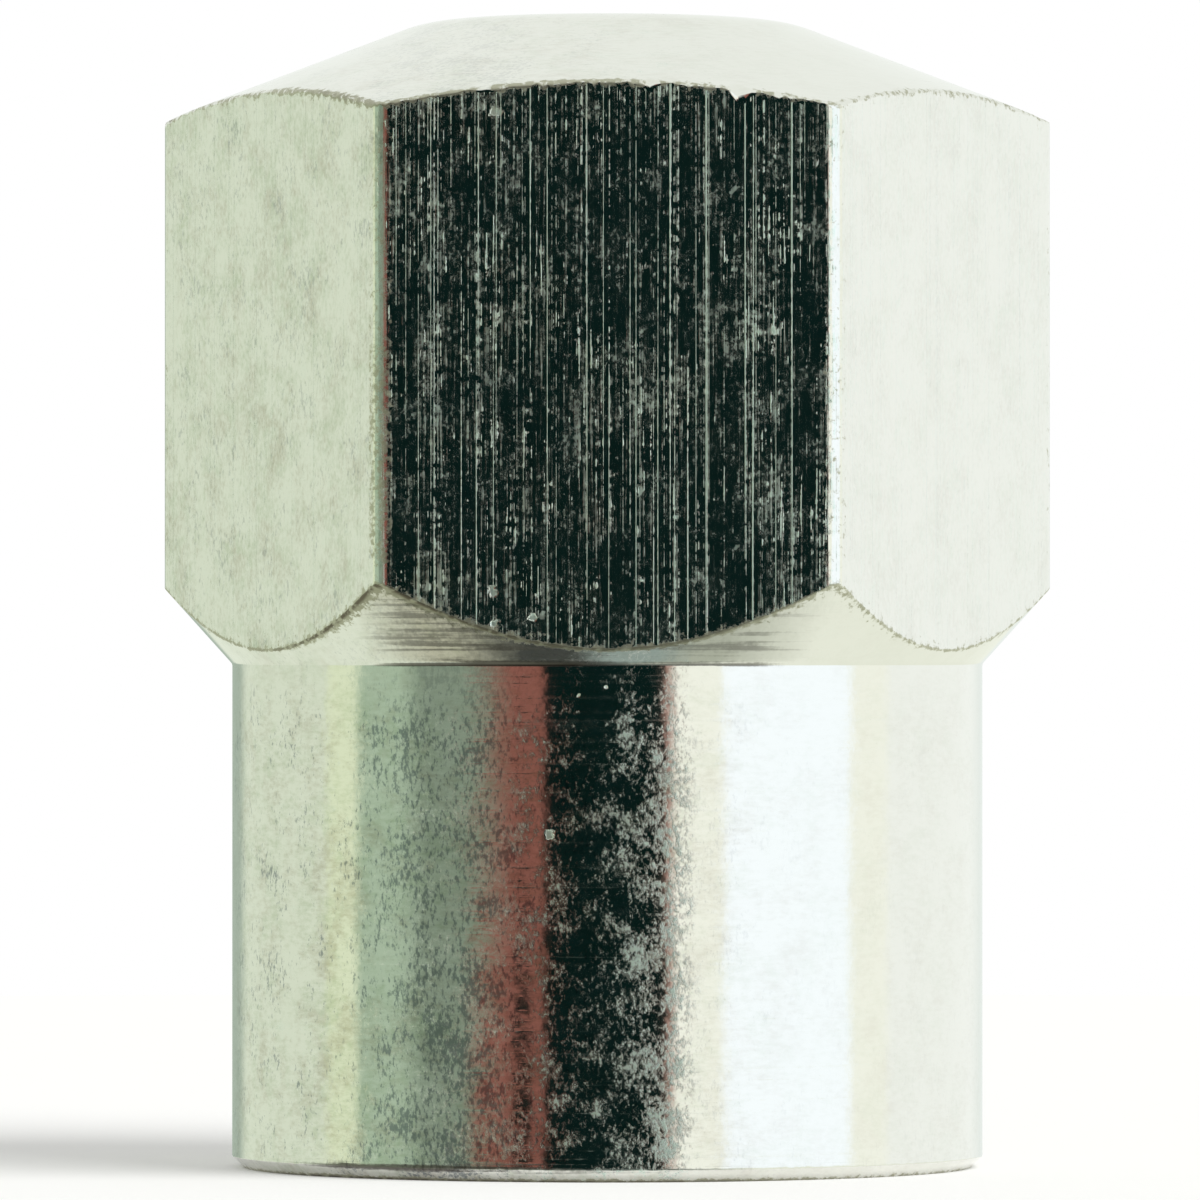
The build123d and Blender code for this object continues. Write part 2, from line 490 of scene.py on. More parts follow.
def worn_edges_and_shade(name):
    """Rubbed and gritty edges, and soiling with painted shade that lies in the rings of the shoulder, the
    neck and the rim.
    """
    desk, given, end = effect(
        name, {"Place": "Vector", "Rings": "Vector", "Edge": "Float", "Groove": "Float"},
        ["Wear", "Grit", "Soil and shade"])
    grains = desk.noise(given["Place"], scale=12.0, detail=4.0, roughness=0.65)
    rubbed = desk.total(grains, (given["Edge"], 0.6))
    desk.feed(end.inputs["Wear"], desk.ease(rubbed, start=0.72, full=0.9))
    grit = desk.ease(desk.noise(given["Place"], scale=8.0, detail=3.0), start=0.36, full=0.52)
    gritty = desk.ease(given["Edge"], start=0.6, full=1.0)
    desk.feed(end.inputs["Grit"], desk.math("MULTIPLY", grit, gritty))
    # Painted shade and soiling: dark streaks in the neck's crease, on the shoulder and along the rim
    rings = desk.vector("MULTIPLY", given["Rings"], (0.45, 0.45, 26.0))
    streaks = desk.noise(rings, detail=3.0, roughness=0.6)
    streaks = desk.total(given["Groove"], (streaks, 3.0), (grains, 0.8))
    streaks = desk.ease(streaks, start=2.2, full=2.75)
    desk.feed(end.inputs["Soil and shade"], desk.math("MULTIPLY", streaks, given["Groove"]))
    return desk.tree


def millimetres(desk):
    """The place on the piece, in millimetres."""
    return desk.vector("MULTIPLY", desk.add("TexCoord").outputs["Object"], (1 / MM,) * 3)


def ring_place(desk, axes):
    """The place on a turned face, where the third number runs along the outline."""
    across = desk.add("CombineXYZ", {0: axes[0], 1: axes[1]}).outputs[0]
    along = desk.total(axes[2], (desk.measure("LENGTH", across), -0.5))
    return desk.add("CombineXYZ", {0: axes[0], 1: axes[1], 2: along}).outputs[0]


def new_material(name):
    """A material with one Principled shader: the material, its desk and the shader."""
    material = bpy.data.materials.new(name)
    material.use_nodes = True
    material.node_tree.nodes.clear()
    desk = NodeDesk(material.node_tree)
    shader = desk.add("BsdfPrincipled")
    desk.add("OutputMaterial", {"Surface": shader.outputs["BSDF"]})
    return material, desk, shader


def finish_shares(desk, axes, finish):
    """How stained and how marked the metal is, where scuffs show, the patch, and how thick scuffs are."""
    low = desk.blend(desk.ease(axes[2], *SKIRT), finish["top"], 1.0)
    stained = desk.blend(desk.ease(axes[0], *STAINED_SIDE), LEAST_STAIN, 1.0)
    stained = desk.math("MULTIPLY", stained, low)
    marked = desk.blend(desk.ease(axes[1], *FRONT_FLAT), finish["elsewhere"], 1.0)
    middle = low
    for edge, beside in zip(FRONT_MIDDLE, finish["sides"]):
        middle = desk.math("MULTIPLY", middle, desk.blend(desk.ease(axes[0], *edge), beside, 1.0))
    patch = desk.between(axes[0], *PITTED_PATCH)
    handled = desk.math("ADD", desk.ease(axes[2], *HANDLED_RIM), desk.ease(axes[0], *HANDLED_SIDE))
    amount = desk.total(finish["scuffs"], (handled, finish["rim_scuffs"]), (patch, finish["patch_scuffs"]))
    return stained, marked, middle, patch, amount


def metal_relief(desk, place, cut, amount, middle, finish):
    """Height in microns and dullness of the scuffs, dents, waves and tool lines."""
    marks = desk.group(shared("Handling marks", handling_marks), Place=place, Amount=amount)
    scuffs = desk.math("MULTIPLY", marks["Scuffs"], middle)
    dents = desk.group(shared("Front dents", front_dents), Place=place)["Depth"]
    waves = desk.noise(place, scale=2.2, detail=3.0)
    height = desk.total(0.0, (scuffs, finish["scuff_depth"]), (dents, -DENT_DEPTH), (waves, finish["ripple"]))
    dull = desk.total(0.0, (scuffs, finish["scuff_dullness"]), (marks["Spots"], finish["spot_dullness"]),
                      (dents, DENT_DULLNESS))
    breaks = desk.group(shared("Line breaks", line_breaks), Place=cut)["Breaks"]
    for stretch, broken, start, full, depth, dullness in finish["lines"]:
        lines = desk.group(shared("Line grain", line_grain), Place=cut, Stretch=stretch, Breaks=breaks,
                           Broken=broken, Start=start, Full=full)["Lines"]
        height = desk.total(height, (lines, depth))
        dull = desk.total(dull, (lines, dullness))
    return height, dull


def metal_tone(desk, rubbed, film, edge_marks_and_shade, cap, finish):
    """Colour of the plating with its stains, pits and worn edges, under the soiling and painted shade."""
    tone = desk.mix(rubbed, cap.plating, cap.rubbed)
    film_tone = desk.mix(film["Tarnish"], cap.stain, cap.tarnish)
    tone = desk.mix(desk.math("MULTIPLY", film["Stain"], finish["stain"]), tone, film_tone)
    tone = desk.mix(desk.math("MULTIPLY", film["Pits"], finish["pits"]), tone, cap.pits)
    edge_tone = desk.mix(edge_marks_and_shade["Grit"], cap.edge_wear, cap.edge_grit)
    tone = desk.mix(edge_marks_and_shade["Wear"], tone, edge_tone)
    # Painted shade: the dark soiling colour also darkens the neck's crease, the shoulder and the rim
    return desk.mix(edge_marks_and_shade["Soil and shade"], tone, cap.soil_and_shade)


def plated_metal(name, cap, finish):
    """Bright nickel with the finish's tool lines, scuffs, stains, and soiling with painted shade."""
    material, desk, shader = new_material(name)
    place = millimetres(desk)
    axes = desk.add("SeparateXYZ", {0: place}).outputs
    rings = ring_place(desk, axes)
    stained, marked, middle, patch, amount = finish_shares(desk, axes, finish)
    film = desk.group(shared("Plating stains", plating_stains), Place=place, Side=stained,
                      Strokes=desk.vector("MULTIPLY", rings, finish["strokes"]),
                      Pitting=desk.math("MULTIPLY", patch, finish["patch_pits"]))
    # Less soiling and painted shade in the lighter ring just above the neck
    open_groove = desk.blend(desk.between(axes[2], *LIGHTER_RING), 1.0, RING_SOIL_AND_SHADE)
    edge_marks_and_shade = desk.group(shared("Worn edges and shade", worn_edges_and_shade), Place=place, Rings=rings,
                      Groove=desk.math("MULTIPLY", desk.attribute("groove"), open_groove),
                      Edge=desk.attribute("edge"))
    cut = rings if finish["turned"] else place
    height, dull = metal_relief(desk, place, cut, amount, middle, finish)
    rubbed = desk.math("MULTIPLY", desk.ease(dull, 0.0, RUBBED_DULLNESS),
                       desk.math("MULTIPLY", middle, marked))
    desk.feed(shader.inputs["Base Color"], metal_tone(desk, rubbed, film, edge_marks_and_shade, cap, finish))
    shader.inputs["Metallic"].default_value = 1.0
    rough = desk.total(finish["roughness"], (dull, marked), (edge_marks_and_shade["Wear"], WEAR_DULLNESS),
                       (edge_marks_and_shade["Soil and shade"], SOIL_AND_SHADE_DULLNESS))
    desk.feed(shader.inputs["Roughness"], desk.math("MINIMUM", rough, HIGHEST_ROUGHNESS))
    relief = desk.math("MULTIPLY", height, marked)
    bump = desk.add("Bump", {"Height": relief, "Distance": MICRON})
    desk.feed(shader.inputs["Normal"], bump.outputs["Normal"])
    return material


def cap_materials(cap):
    """The body's finishes, in the order of TURNED, DRAWN and BORED."""
    return [plated_metal(name, cap, finish) for name, finish in FINISHES.items()]


def rubber_material(seal):
    """Matte black rubber with a fine moulded grain and a grey bloom."""
    material, desk, shader = new_material("black_rubber")
    place = millimetres(desk)
    grain = desk.noise(place, scale=26.0, detail=3.0, roughness=0.7)
    bloom = desk.noise(place, scale=1.4, detail=4.0, roughness=0.65)
    bloom = desk.ease(bloom, start=0.45, full=0.75)
    desk.feed(shader.inputs["Base Color"], desk.mix(bloom, seal.rubber, seal.bloom))
    desk.feed(shader.inputs["Roughness"], desk.total(RUBBER_ROUGHNESS, (bloom, BLOOM_DULLNESS)))
    bump = desk.add("Bump", {"Height": grain, "Distance": RUBBER_GRAIN})
    desk.feed(shader.inputs["Normal"], bump.outputs["Normal"])
    return material


def wobble(angles, seed, slowest, fastest, waves=40):
    """Seeded waviness round the cap, about -1 to 1, from waves of the slowest to the fastest count a turn."""
    random = np.random.default_rng(seed)
    ripples = random.integers(slowest, fastest, waves)
    phases = random.uniform(0, 2 * pi, waves)
    return np.sin(np.outer(angles, ripples) + phases).sum(axis=1) / np.sqrt(waves)


def hexagon_columns(half_flats, corner_radius):
    """Angle and reach of each mesh column round the rounded hexagon. The first flat faces -Y."""
    tangent = (half_flats - corner_radius) * tan(radians(30))
    turn = np.linspace(0, radians(60), CORNER_COLUMNS + 2)[1:-1]
    along = np.append(np.linspace(-tangent, tangent, FLAT_COLUMNS), tangent + corner_radius * np.sin(turn))
    out = np.append(np.full(FLAT_COLUMNS, half_flats), half_flats - corner_radius * (1 - np.cos(turn)))
    angles = [radians(60 * side - 90) + np.arctan2(along, out) for side in range(SIDES)]
    return np.concatenate(angles), np.tile(np.hypot(along, out), SIDES)


def eased(count):
    """Shares from 0 to 1, closer together at both ends, without the ends."""
    return (1 - np.cos(np.linspace(0, pi, count + 2)[1:-1])) / 2


def rounded_chain(corners, roundings, arc_rows, span_rows):
    """Rows of (radius, height) along a chain of corners, all rounded but its ends, and each arc's rows.

    Corners and roundings are arrays with one value per column, or single numbers.
    """
    shape = np.broadcast_shapes(*(np.shape(v) for corner in corners for v in corner))
    points = [np.stack([np.broadcast_to(v, shape) for v in c], axis=-1).astype(float) for c in corners]
    rows, arcs = [points[0]], []
    last = points[0]
    for k in range(1, len(points)):
        arc = [points[k]]
        if k < len(points) - 1:
            come = points[k] - points[k - 1]
            go = points[k + 1] - points[k]
            come /= np.linalg.norm(come, axis=-1, keepdims=True)
            go /= np.linalg.norm(go, axis=-1, keepdims=True)
            turn = np.arccos(np.clip((come * go).sum(-1, keepdims=True), -1, 1))
            radius = np.broadcast_to(roundings[k - 1], shape)[..., None]
            inward = (go - come) / np.linalg.norm(go - come, axis=-1, keepdims=True)
            centre = points[k] + inward * radius / np.cos(turn / 2)
            begin = points[k] - come * radius * np.tan(turn / 2) - centre
            end = points[k] + go * radius * np.tan(turn / 2) - centre
            shares = np.linspace(0, 1, arc_rows[k - 1])
            arc = [centre + (np.sin((1 - s) * turn) * begin + np.sin(s * turn) * end) / np.sin(turn)
                   for s in shares]
        rows += [last + (arc[0] - last) * s for s in eased(span_rows[k - 1])]
        arcs.append((len(rows), len(rows) + len(arc) - 1))
        rows += arc
        last = arc[-1]
    return rows, arcs


class Skin:
    """Collects rings of points and the faces between them."""

    def __init__(self):
        self.points, self.faces, self.zones = [], [], []
        self.wear = {"edge": [], "groove": []}

    def ring(self, angles, row, **wear):
        """Adds a ring from (radius, height) at each angle. Returns its points' numbers."""
        radius, height = np.broadcast_to(row, (len(angles), 2)).T
        first = len(self.points)
        self.points += zip(radius * np.cos(angles), radius * np.sin(angles), height)
        for name, values in self.wear.items():
            values += list(np.broadcast_to(wear.get(name, 0.0), len(angles)))
        return np.arange(first, len(self.points))

    def pole(self, height):
        return self.ring(np.zeros(1), (0.0, height))[0]

    def add(self, faces, zone):
        self.faces += [tuple(int(i) for i in face) for face in faces]
        self.zones += [zone] * len(faces)

    def fan(self, centre, ring, zone):
        self.add([(centre, a, b) for a, b in zip(ring, np.roll(ring, -1))], zone)

    def band(self, ring, other, zone):
        sides = zip(ring, np.roll(ring, -1), np.roll(other, -1), other)
        self.add(list(sides), zone)

    def halve(self, fine, coarse, zone):
        """Joins a ring to one with half as many points."""
        left, middle, right = fine[0::2], fine[1::2], np.roll(fine[0::2], -1)
        after = np.roll(coarse, -1)
        self.add(list(zip(left, middle, coarse)), zone)
        self.add(list(zip(middle, after, coarse)), zone)
        self.add(list(zip(middle, right, after)), zone)

    def build(self, name, materials, sharp_angle):
        """Makes the object, welded and with its faces turned outwards."""
        mesh = bpy.data.meshes.new(name)
        mesh.from_pydata(self.points, [], self.faces)
        mesh.polygons.foreach_set("material_index", self.zones)
        for wear, values in self.wear.items():
            mesh.attributes.new(wear, "FLOAT", "POINT").data.foreach_set("value", values)
        shape = bmesh.new()
        shape.from_mesh(mesh)
        bmesh.ops.remove_doubles(shape, verts=shape.verts, dist=WELD)
        bmesh.ops.dissolve_degenerate(shape, edges=shape.edges, dist=SLIVER)
        bmesh.ops.recalc_face_normals(shape, faces=shape.faces)
        open_edges = sum(not edge.is_manifold for edge in shape.edges)
        shape.to_mesh(mesh)
        shape.free()
        if open_edges:
            raise RuntimeError(f"{name} isn't closed: {open_edges} edges have no two faces")
        mesh.shade_smooth()
        mesh.set_sharp_from_angle(angle=sharp_angle)
        for material in materials:
            mesh.materials.append(material)
        piece = bpy.data.objects.new(name, mesh)
        bpy.context.scene.collection.objects.link(piece)
        return piece


def nick_depths(angles, half_flats):
    """Depth of the nicks in the front flat's upper edge at each column."""
    place = half_flats * np.tan(np.angle(np.exp(1j * (angles + pi / 2))))
    front = np.cos(angles + pi / 2) > cos(radians(30))
    depths = [depth * MM * np.clip(1 - np.abs(place - middle * MM) / (half_width * MM), 0, 1)
              for middle, half_width, depth in FRONT_NICKS]
    return np.where(front, np.sum(depths, axis=0), 0.0)


def worn_rounding(angles, half_flats, mean):
    """Rounding of the hexagon's upper edge at each column, uneven and with nicks in the front flat."""
    least, most = 0.4 * mean, 4.5 * mean
    chips = wobble(angles, seed=11, slowest=60, fastest=420)
    waves = wobble(angles, seed=12, slowest=8, fastest=60)
    rounding = mean * (1.9 + 0.9 * chips + 0.6 * waves)
    return np.clip(rounding, least, most) + nick_depths(angles, half_flats)


def outside_rows(cap, angles, reach):
    """The body's rows from the top's edge down to the rim, with each corner's rows."""
    top_radius = cap.top_diameter / 2
    skirt_radius = cap.skirt_diameter / 2
    upper = cap.overall_height - (reach - top_radius) * tan(cap.top_slope)
    lower = cap.skirt_length + (reach - skirt_radius) * tan(cap.shoulder_angle)
    rim_edge = skirt_radius - cap.rim_break
    mouth = cap.thread_diameter / 2 + cap.mouth_chamfer
    corners = [
        (top_radius / 8, cap.overall_height),
        (top_radius, cap.overall_height),
        (reach, upper),
        (reach, lower),
        (skirt_radius, cap.skirt_length),
        (skirt_radius, cap.rim_break),
        (rim_edge, 0.0),
        ((rim_edge + mouth) / 2, 0.0),
    ]
    small = cap.edge_radius
    chips = np.clip(wobble(angles, seed=13, slowest=40, fastest=400), -1.5, 1.5)
    uneven = small * (1 + 0.4 * chips)
    roundings = [cap.top_blend, worn_rounding(angles, cap.across_flats / 2, small), uneven,
                 cap.neck_radius, uneven, small]
    return rounded_chain(corners, roundings, *OUTSIDE_ROWS)


def edge_share(number, arcs, across, depths):
    """How rubbed a row's columns are: the hexagon's edges and corners, and the rim. The nicks are bright."""
    side = np.interp(across, *EDGE_WEAR)
    above, below, rim = arcs[1], arcs[2], arcs[5]
    if number < (above[1] + below[0]) / 2:
        side = UPPER_WEAR * side * np.clip(1 - depths / (BRIGHT_DEPTH * MM), 0, 1)
    if any(first <= number <= last for first, last in (above, below, rim)):
        return side
    for beside, spread in ((above[0] - number, CONE_SPREAD), (number - above[1], FLAT_SPREAD),
                           (below[0] - number, FLAT_SPREAD), (number - below[1], CONE_SPREAD)):
        if 1 <= beside <= len(spread):
            return spread[beside - 1] * side
    if above[1] < number < below[0]:
        flat = np.zeros(FLAT_COLUMNS)
        flat[[0, -1]] = CORNER_SIDE_WEAR
        return np.tile(np.append(flat, np.full(CORNER_COLUMNS, CORNER_WEAR)), SIDES) * side
    return 0.0


def groove_share(number, arcs, across, behind):
    """How much soiling and painted shade a row's columns take: on the shoulder, in the neck and along the
    rim.
    """
    if arcs[2][1] < number <= arcs[3][1]:
        down = (number - arcs[2][1]) / (arcs[3][1] - arcs[2][1])
        share = SHOULDER_EDGE_SOIL_AND_SHADE + (1 - SHOULDER_EDGE_SOIL_AND_SHADE) * down
        return share * np.where(behind, BACK_SHOULDER_SOIL_AND_SHADE, np.interp(across, *SHOULDER_SOIL_AND_SHADE))
    if arcs[4][0] - 1 <= number <= arcs[4][1]:
        return np.where(behind, BACK_RIM_SOIL_AND_SHADE, np.interp(across, *RIM_SOIL_AND_SHADE))
    return 0.0


def thread_rings(skin, cap, angles, start, start_radius):
    """The thread's rows as one helical sheet from the start height. Returns its first and last ring."""
    minor = cap.thread_diameter / 2
    finish = cap.mouth_chamfer + cap.thread_length
    turn = np.arange(len(angles)) / len(angles)
    phases = np.array([p for p, _ in THREAD_PROFILE])
    depths = np.array([d for _, d in THREAD_PROFILE])
    turns = int(np.ceil((finish - start) / cap.thread_pitch)) + 2
    rings = []
    for number in range(turns):
        for phase, depth in zip(phases, depths):
            rise = (number - 1 + phase + turn) * cap.thread_pitch
            height = np.clip(start + rise, start, finish)
            fade = np.clip((finish - height) / cap.thread_pitch, 0, 1)
            cone = start_radius - (height - start)
            radius = np.maximum(minor + cap.thread_depth * depth * fade, cone)
            rings.append(skin.ring(angles, np.stack([radius, height], axis=-1)))
    step = len(phases)
    for ring, above in zip(rings, rings[1:]):
        skin.add(list(zip(ring[:-1], ring[1:], above[1:], above[:-1])), BORED)
    for number, ring in enumerate(rings[:-1 - step]):
        seam = (ring[-1], rings[number + step][0], rings[number + step + 1][0], rings[number + 1][-1])
        skin.add([seam], BORED)
    return rings[0], rings[-1]


def bore_skin(skin, cap, columns, rim_ring):
    """The bore inside the rim: countersunk mouth, thread, seal recess and pocket, on every second column."""
    angles = columns[::2]
    minor = cap.thread_diameter / 2
    mouth = minor + cap.mouth_chamfer
    start = cap.mouth_chamfer - cap.thread_depth - cap.edge_radius / 2
    start_radius = mouth - start
    rim_edge = cap.skirt_diameter / 2 - cap.rim_break
    mouth_rows, _ = rounded_chain(
        [((rim_edge + 2 * mouth) / 3, 0.0), (mouth, 0.0), (start_radius, start)],
        [cap.edge_radius / 2], *MOUTH_ROWS)
    mouth_rings = [skin.ring(angles, row) for row in mouth_rows]
    skin.halve(rim_ring, mouth_rings[0], TURNED)
    for ring, other in zip(mouth_rings, mouth_rings[1:]):
        skin.band(ring, other, TURNED)
    first, last = thread_rings(skin, cap, angles, start, start_radius)
    skin.band(mouth_rings[-1], first, BORED)

    finish = cap.mouth_chamfer + cap.thread_length
    recess = (SEAL_HIGH.x - SEAL_LOW.x) / 2 + cap.recess_clearance
    seat = SEAL_HIGH.z
    pocket = cap.pocket_diameter / 2
    pocket_end = seat + cap.pocket_depth
    slope = tan(cap.drill_point / 2)
    tip = pocket_end + pocket / slope
    inner_rows, _ = rounded_chain(
        [(minor, finish), (recess, finish), (recess, seat), (pocket, seat), (pocket, pocket_end),
         (pocket / 10, tip - pocket / 10 / slope)],
        [cap.edge_radius] * 4, *INNER_ROWS)
    inner_rings = [skin.ring(angles, row) for row in inner_rows]
    for ring, other in zip([last] + inner_rings, inner_rings):
        skin.band(ring, other, BORED)
    skin.fan(skin.pole(tip), inner_rings[-1], BORED)


def cap_body_piece(cap):
    """The plated body: sloped hexagon head, shoulder, skirt and threaded bore as one closed skin."""
    half_flats = cap.across_flats / 2
    angles, reach = hexagon_columns(half_flats, cap.corner_radius)
    rows, arcs = outside_rows(cap, angles, reach)
    depths = nick_depths(angles, half_flats)
    skin = Skin()
    rings = []
    for number, row in enumerate(rows):
        across = np.broadcast_to(row, (len(angles), 2))[:, 0] * np.cos(angles) / MM
        rings.append(skin.ring(angles, row, edge=edge_share(number, arcs, across, depths),
                               groove=groove_share(number, arcs, across, np.sin(angles) > 0)))
    skin.fan(skin.pole(cap.overall_height), rings[0], TURNED)
    for k in range(len(rings) - 1):
        drawn = arcs[1][1] <= k < arcs[2][0]
        skin.band(rings[k], rings[k + 1], DRAWN if drawn else TURNED)
    bore_skin(skin, cap, angles, rings[-1])
    piece = skin.build("nickel_cap", cap_materials(cap), METAL_SHARP)
    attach(piece, "root")
    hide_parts("cap_body")
    return piece


def sealing_washer_piece(seal):
    """The rubber washer: rounded edges, a moulding line round it and a dent where the stem presses."""
    outer = seal.diameter / 2
    hole = seal.hole_diameter / 2
    high = SEAL_HIGH.z
    low = high - seal.thickness
    middle = (low + high) / 2
    line = seal.moulding_line
    dent = seal.dent_depth
    reach = seal.dent_width / 2
    stem = hole + seal.stem_place * (outer - hole)
    corners = [
        (hole, middle), (hole, high), (outer, high), (outer - line, middle + line),
        (outer, middle), (outer - line, middle - line), (outer, low),
        (stem + reach, low), (stem, low + dent), (stem - reach, low), (hole, low),
        (hole, middle)]
    edge, crease, soft = seal.edge_radius, line / 4, 4 * dent
    roundings = [edge, edge, crease, crease, crease, edge, soft, soft, soft, edge]
    rows, _ = rounded_chain(corners, roundings, *SEAL_ROWS)
    angles = np.arange(SEAL_COLUMNS) * 2 * pi / SEAL_COLUMNS
    skin = Skin()
    rings = [skin.ring(angles, row) for row in rows[:-1]]
    for ring, other in zip(rings, rings[1:] + rings[:1]):
        skin.band(ring, other, 0)
    piece = skin.build("rubber_washer", [rubber_material(seal)], RUBBER_SHARP)
    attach(piece, "root")
    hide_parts("sealing_washer")
    return piece


def floor_piece(stage):
    """A round pale table top that takes the shadow. The metal reflects only the part beside the cap."""
    material, desk, shader = new_material("pale_floor")
    path = desk.add("LightPath").outputs
    seen = desk.math("MAXIMUM", path["Is Camera Ray"], path["Is Glossy Ray"])
    seen = desk.math("MAXIMUM", seen, path["Is Transmission Ray"])
    place = desk.add("TexCoord").outputs["Object"]
    darker = [0.99 * part for part in stage.floor_tone]
    tone = desk.mix(desk.noise(place, scale=900.0), darker, stage.floor_tone)
    desk.feed(shader.inputs["Base Color"], tone)
    shader.inputs["Roughness"].default_value = 0.9
    shader.inputs["Specular IOR Level"].default_value = 0.0
    shader.inputs["Emission Color"].default_value = (1, 1, 1, 1)
    desk.feed(shader.inputs["Emission Strength"], desk.math("MULTIPLY", seen, stage.floor_glow))
    far = desk.math("GREATER_THAN", desk.measure("LENGTH", place), stage.mirrored_radius)
    unseen = desk.math("MULTIPLY", far, path["Is Glossy Ray"])
    clear = desk.add("BsdfTransparent").outputs["BSDF"]
    near = desk.add("MixShader", {0: unseen, 1: shader.outputs["BSDF"], 2: clear})
    desk.feed(desk.tree.nodes["Material Output"].inputs["Surface"], near.outputs["Shader"])
    mesh = bpy.data.meshes.new("pale_floor")
    shape = bmesh.new()
    bmesh.ops.create_circle(shape, cap_ends=True, segments=128, radius=stage.floor_radius)
    shape.to_mesh(mesh)
    shape.free()
    mesh.materials.append(material)
    floor = bpy.data.objects.new("pale_floor", mesh)
    bpy.context.scene.collection.objects.link(floor)


def surround_bands(stage):
    """The cards round the cap: start and end in degrees from the camera, to the right, and colour."""
    bands = [
        (-180, -155, stage.rear_card), (-146, -97, stage.left_wall), (-94, -84, stage.yellow_card),
        (-81, -66, stage.green_card), (-58, -38, stage.dull_card), (-29, -20, stage.warm_card),
        (-18.5, 17.7, stage.black_card), (18.2, 18.8, stage.rose_edge), (21, 34, stage.cream_card),
        (37, 78, stage.softbox), (81, 93, stage.cream_card), (97, 148, stage.right_wall),
        (163, 180, stage.far_card)]
    return [(first / 360 + 0.5, last / 360 + 0.5, tone) for first, last, tone in bands]


def ground_bands(stage):
    """The ground from left to right, as shares: start, end and colour."""
    return [(0.0, 0.22, stage.left_ground), (0.29, 0.32, stage.tan_ground), (0.4, 0.46, stage.dark_ground),
            (0.5, 0.56, stage.blue_ground), (0.6, 0.63, stage.grey_ground), (0.74, 1.0, stage.right_ground)]


def colour_bands(desk, share, bands):
    """Bands of colour by a share from 0 to 1, soft between one band's end and the next one's start."""
    ramp = desk.add("ValToRGB", {"Fac": share})
    stops = ramp.color_ramp.elements
    stops[0].color = (*bands[0][2], 1)
    stops[1].color = (*bands[-1][2], 1)
    for first, last, tone in bands:
        for edge in (first, last):
            stops.new(edge).color = (*tone, 1)
    return ramp.outputs["Color"]


def card_surround(desk, heading, rise, stage):
    """The cards' colours. The warm card's far edge is waisted: it is wider high up and low down."""
    upper = desk.between(rise, *WAIST_UPPER_RISE)
    wider = desk.total(desk.ease(rise, *WAIST_LOWER_RISE), (upper, WIDENING_ABOVE))
    wider = desk.math("MULTIPLY", wider, desk.between(heading, *WAIST_HEADING))
    share = desk.total(0.5, (heading, 1 / 360), (wider, WARM_CARD_WIDENING / 360))
    return colour_bands(desk, share, surround_bands(stage))


def ceiling_edge(desk, backward, side, higher, lower):
    """Rise of one of the ceiling's edges, which comes lower behind the cap than in front of it."""
    return desk.math("MINIMUM", desk.total(side, (backward, -higher)), desk.total(side, (backward, -lower)))


def ground_below(desk, axes, heading, rise, stage):
    """The ground's colours, with the dark apron in front of the cap."""
    depth = desk.math("MAXIMUM", desk.math("MULTIPLY", axes[2], -1.0), 0.01)
    across = desk.math("DIVIDE", axes[0], depth)
    ground = colour_bands(desk, desk.total(0.5, (across, 1 / GROUND_WIDTH)), ground_bands(stage))
    ahead = desk.ease(desk.math("ABSOLUTE", heading), *APRON_HEADING)
    ahead = desk.math("MULTIPLY", ahead, desk.ease(rise, *APRON_RISE))
    return desk.mix(ahead, ground, stage.apron)


def studio_world(stage):
    """White to the camera, soft light for the shadow, and the cards for what the metal reflects."""
    world = bpy.data.worlds.new("studio")
    world.use_nodes = True
    world.cycles.sampling_method = "NONE"
    world.node_tree.nodes.clear()
    desk = NodeDesk(world.node_tree)
    axes = desk.add("SeparateXYZ", {0: desk.add("TexCoord").outputs["Generated"]}).outputs
    heading = desk.math("ARCTAN2", axes[0], desk.math("MULTIPLY", axes[1], -1.0))
    heading = desk.math("MULTIPLY", heading, 180 / pi)
    rise = desk.math("MULTIPLY", desk.math("ARCSINE", axes[2]), 180 / pi)
    overhead = desk.ease(rise, ceiling_edge(desk, axes[1], *CEILING_START),
                         ceiling_edge(desk, axes[1], *CEILING_FULL))
    around = desk.mix(overhead, card_surround(desk, heading, rise, stage), stage.ceiling)
    ground = ground_below(desk, axes, heading, rise, stage)
    around = desk.mix(desk.ease(rise, *GROUND_RISE), around, ground)
    path = desk.add("LightPath").outputs
    light = desk.mix(path["Is Glossy Ray"], (stage.fill,) * 3, around)
    seen = desk.math("MAXIMUM", path["Is Camera Ray"], path["Is Transmission Ray"])
    background = desk.add("Background", {"Color": desk.mix(seen, light, (1, 1, 1))})
    desk.add("OutputWorld", {"Surface": background.outputs["Background"]})
    bpy.context.scene.world = world


def key_lamp(stage):
    """A wide soft light, high on the right. It lights the floor and the rubber; cards light the metal."""
    lamp = bpy.data.lights.new("key_lamp", "SUN")
    lamp.energy = stage.key_strength
    lamp.angle = stage.key_width
    holder = bpy.data.objects.new("key_lamp", lamp)
    holder.rotation_euler = Vector(stage.key_side).to_track_quat("Z", "Y").to_euler()
    holder.visible_glossy = False
    bpy.context.scene.collection.objects.link(holder)


def photo_camera(stage):
    """A long lens in front of the cap, a little below its middle and tilted up."""
    camera = bpy.data.cameras.new("photo_camera")
    camera.lens = camera.sensor_width * stage.camera_distance / stage.field_width
    camera.clip_start = stage.camera_distance / 100
    camera.clip_end = stage.camera_distance * 100
    holder = bpy.data.objects.new("photo_camera", camera)
    holder.location = (-stage.camera_offset, -stage.camera_distance, stage.camera_height)
    holder.rotation_euler = (pi / 2 + stage.camera_pitch, 0, 0)
    bpy.context.scene.collection.objects.link(holder)
    bpy.context.scene.camera = holder


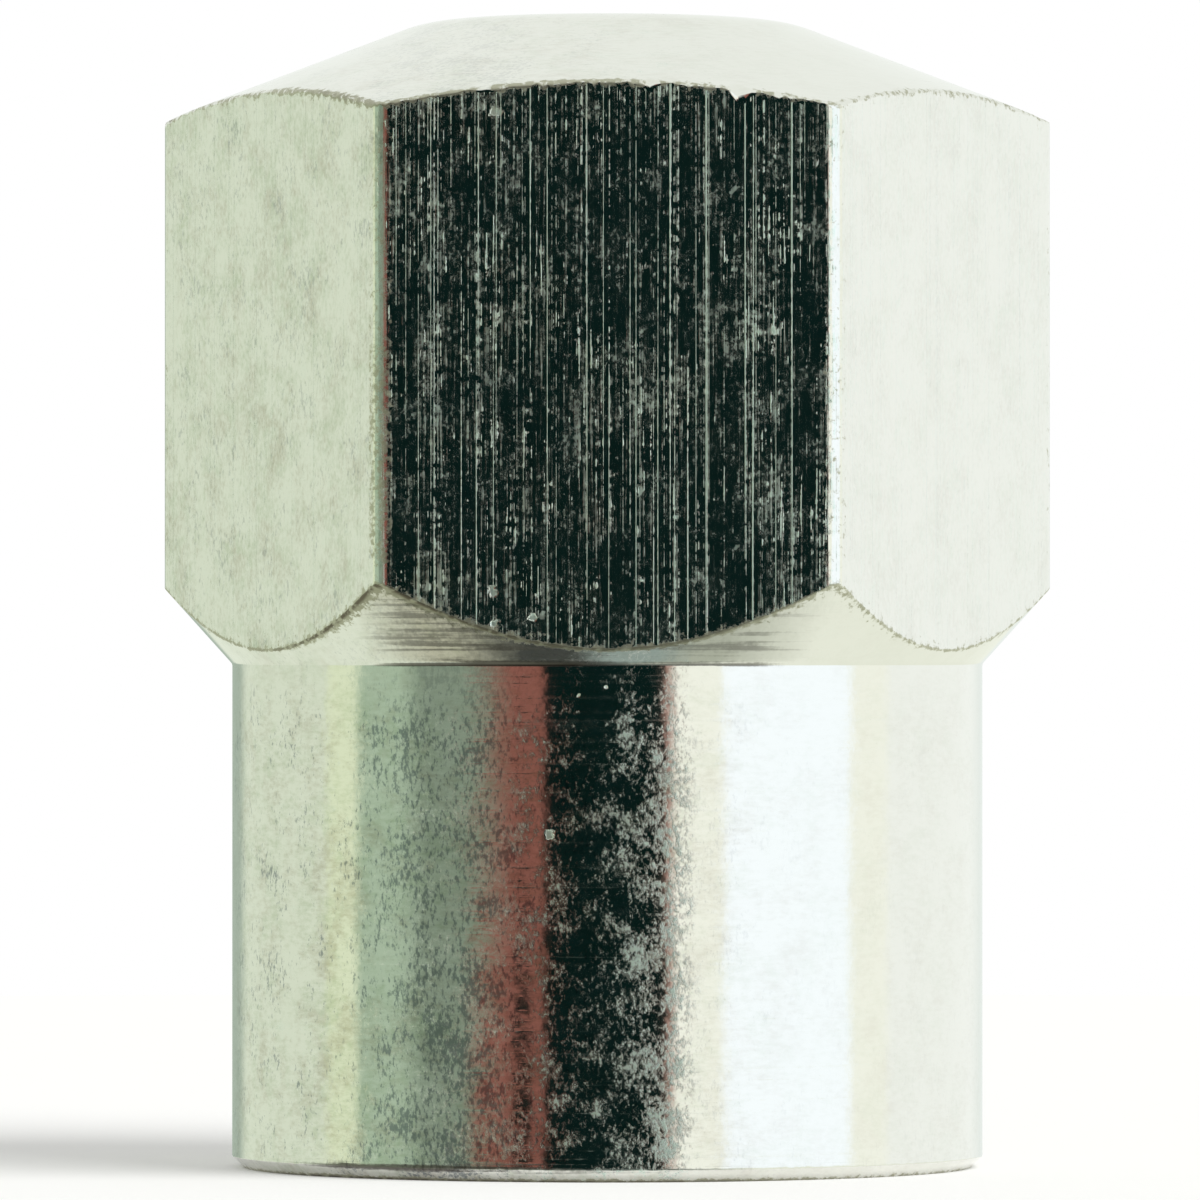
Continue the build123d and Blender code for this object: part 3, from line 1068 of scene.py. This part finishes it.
class VALVECAP_OT_body(bpy.types.Operator):
    """Make the plated body in place of the plain one"""

    bl_idname = "valvecap.body"
    bl_label = "Plated Body"

    def execute(self, context):
        cap_body_piece(context.scene.valvecap_body)
        return {"FINISHED"}


class VALVECAP_OT_seal(bpy.types.Operator):
    """Make the rubber washer in place of the plain one"""

    bl_idname = "valvecap.seal"
    bl_label = "Rubber Washer"

    def execute(self, context):
        sealing_washer_piece(context.scene.valvecap_seal)
        return {"FINISHED"}


class VALVECAP_OT_stage(bpy.types.Operator):
    """Set up the floor, the light and the camera"""

    bl_idname = "valvecap.stage"
    bl_label = "Studio"

    def execute(self, context):
        stage = context.scene.valvecap_stage
        floor_piece(stage)
        studio_world(stage)
        key_lamp(stage)
        photo_camera(stage)
        context.scene.view_settings.view_transform = "Standard"
        return {"FINISHED"}


class VALVECAP_PT_parts(bpy.types.Panel):
    """Lists the cap's pieces and the studio, with their settings"""

    bl_idname = "VALVECAP_PT_parts"
    bl_label = "Valve Cap"
    bl_space_type = "VIEW_3D"
    bl_region_type = "UI"
    bl_category = "Valve Cap"

    def draw(self, context):
        for operator, group in STEPS:
            box = self.layout.box()
            box.operator(operator.bl_idname)
            settings = getattr(context.scene, group)
            for name in settings.__annotations__:
                box.prop(settings, name)


STEPS = (
    (VALVECAP_OT_body, "valvecap_body"),
    (VALVECAP_OT_seal, "valvecap_seal"),
    (VALVECAP_OT_stage, "valvecap_stage"),
)
GROUPS = (("valvecap_body", ValveCapBody), ("valvecap_seal", ValveCapSeal), ("valvecap_stage", ValveCapStage))
CLASSES = (*(group for _, group in GROUPS), *(operator for operator, _ in STEPS), VALVECAP_PT_parts)


def register():
    for item in CLASSES:
        bpy.utils.register_class(item)
    for name, group in GROUPS:
        setattr(bpy.types.Scene, name, PointerProperty(type=group))


def unregister():
    for name, _ in GROUPS:
        delattr(bpy.types.Scene, name)
    for item in reversed(CLASSES):
        bpy.utils.unregister_class(item)


def main():
    register()
    bpy.ops.valvecap.body()
    bpy.ops.valvecap.seal()
    bpy.ops.valvecap.stage()


if __name__ == "__main__":
    main()
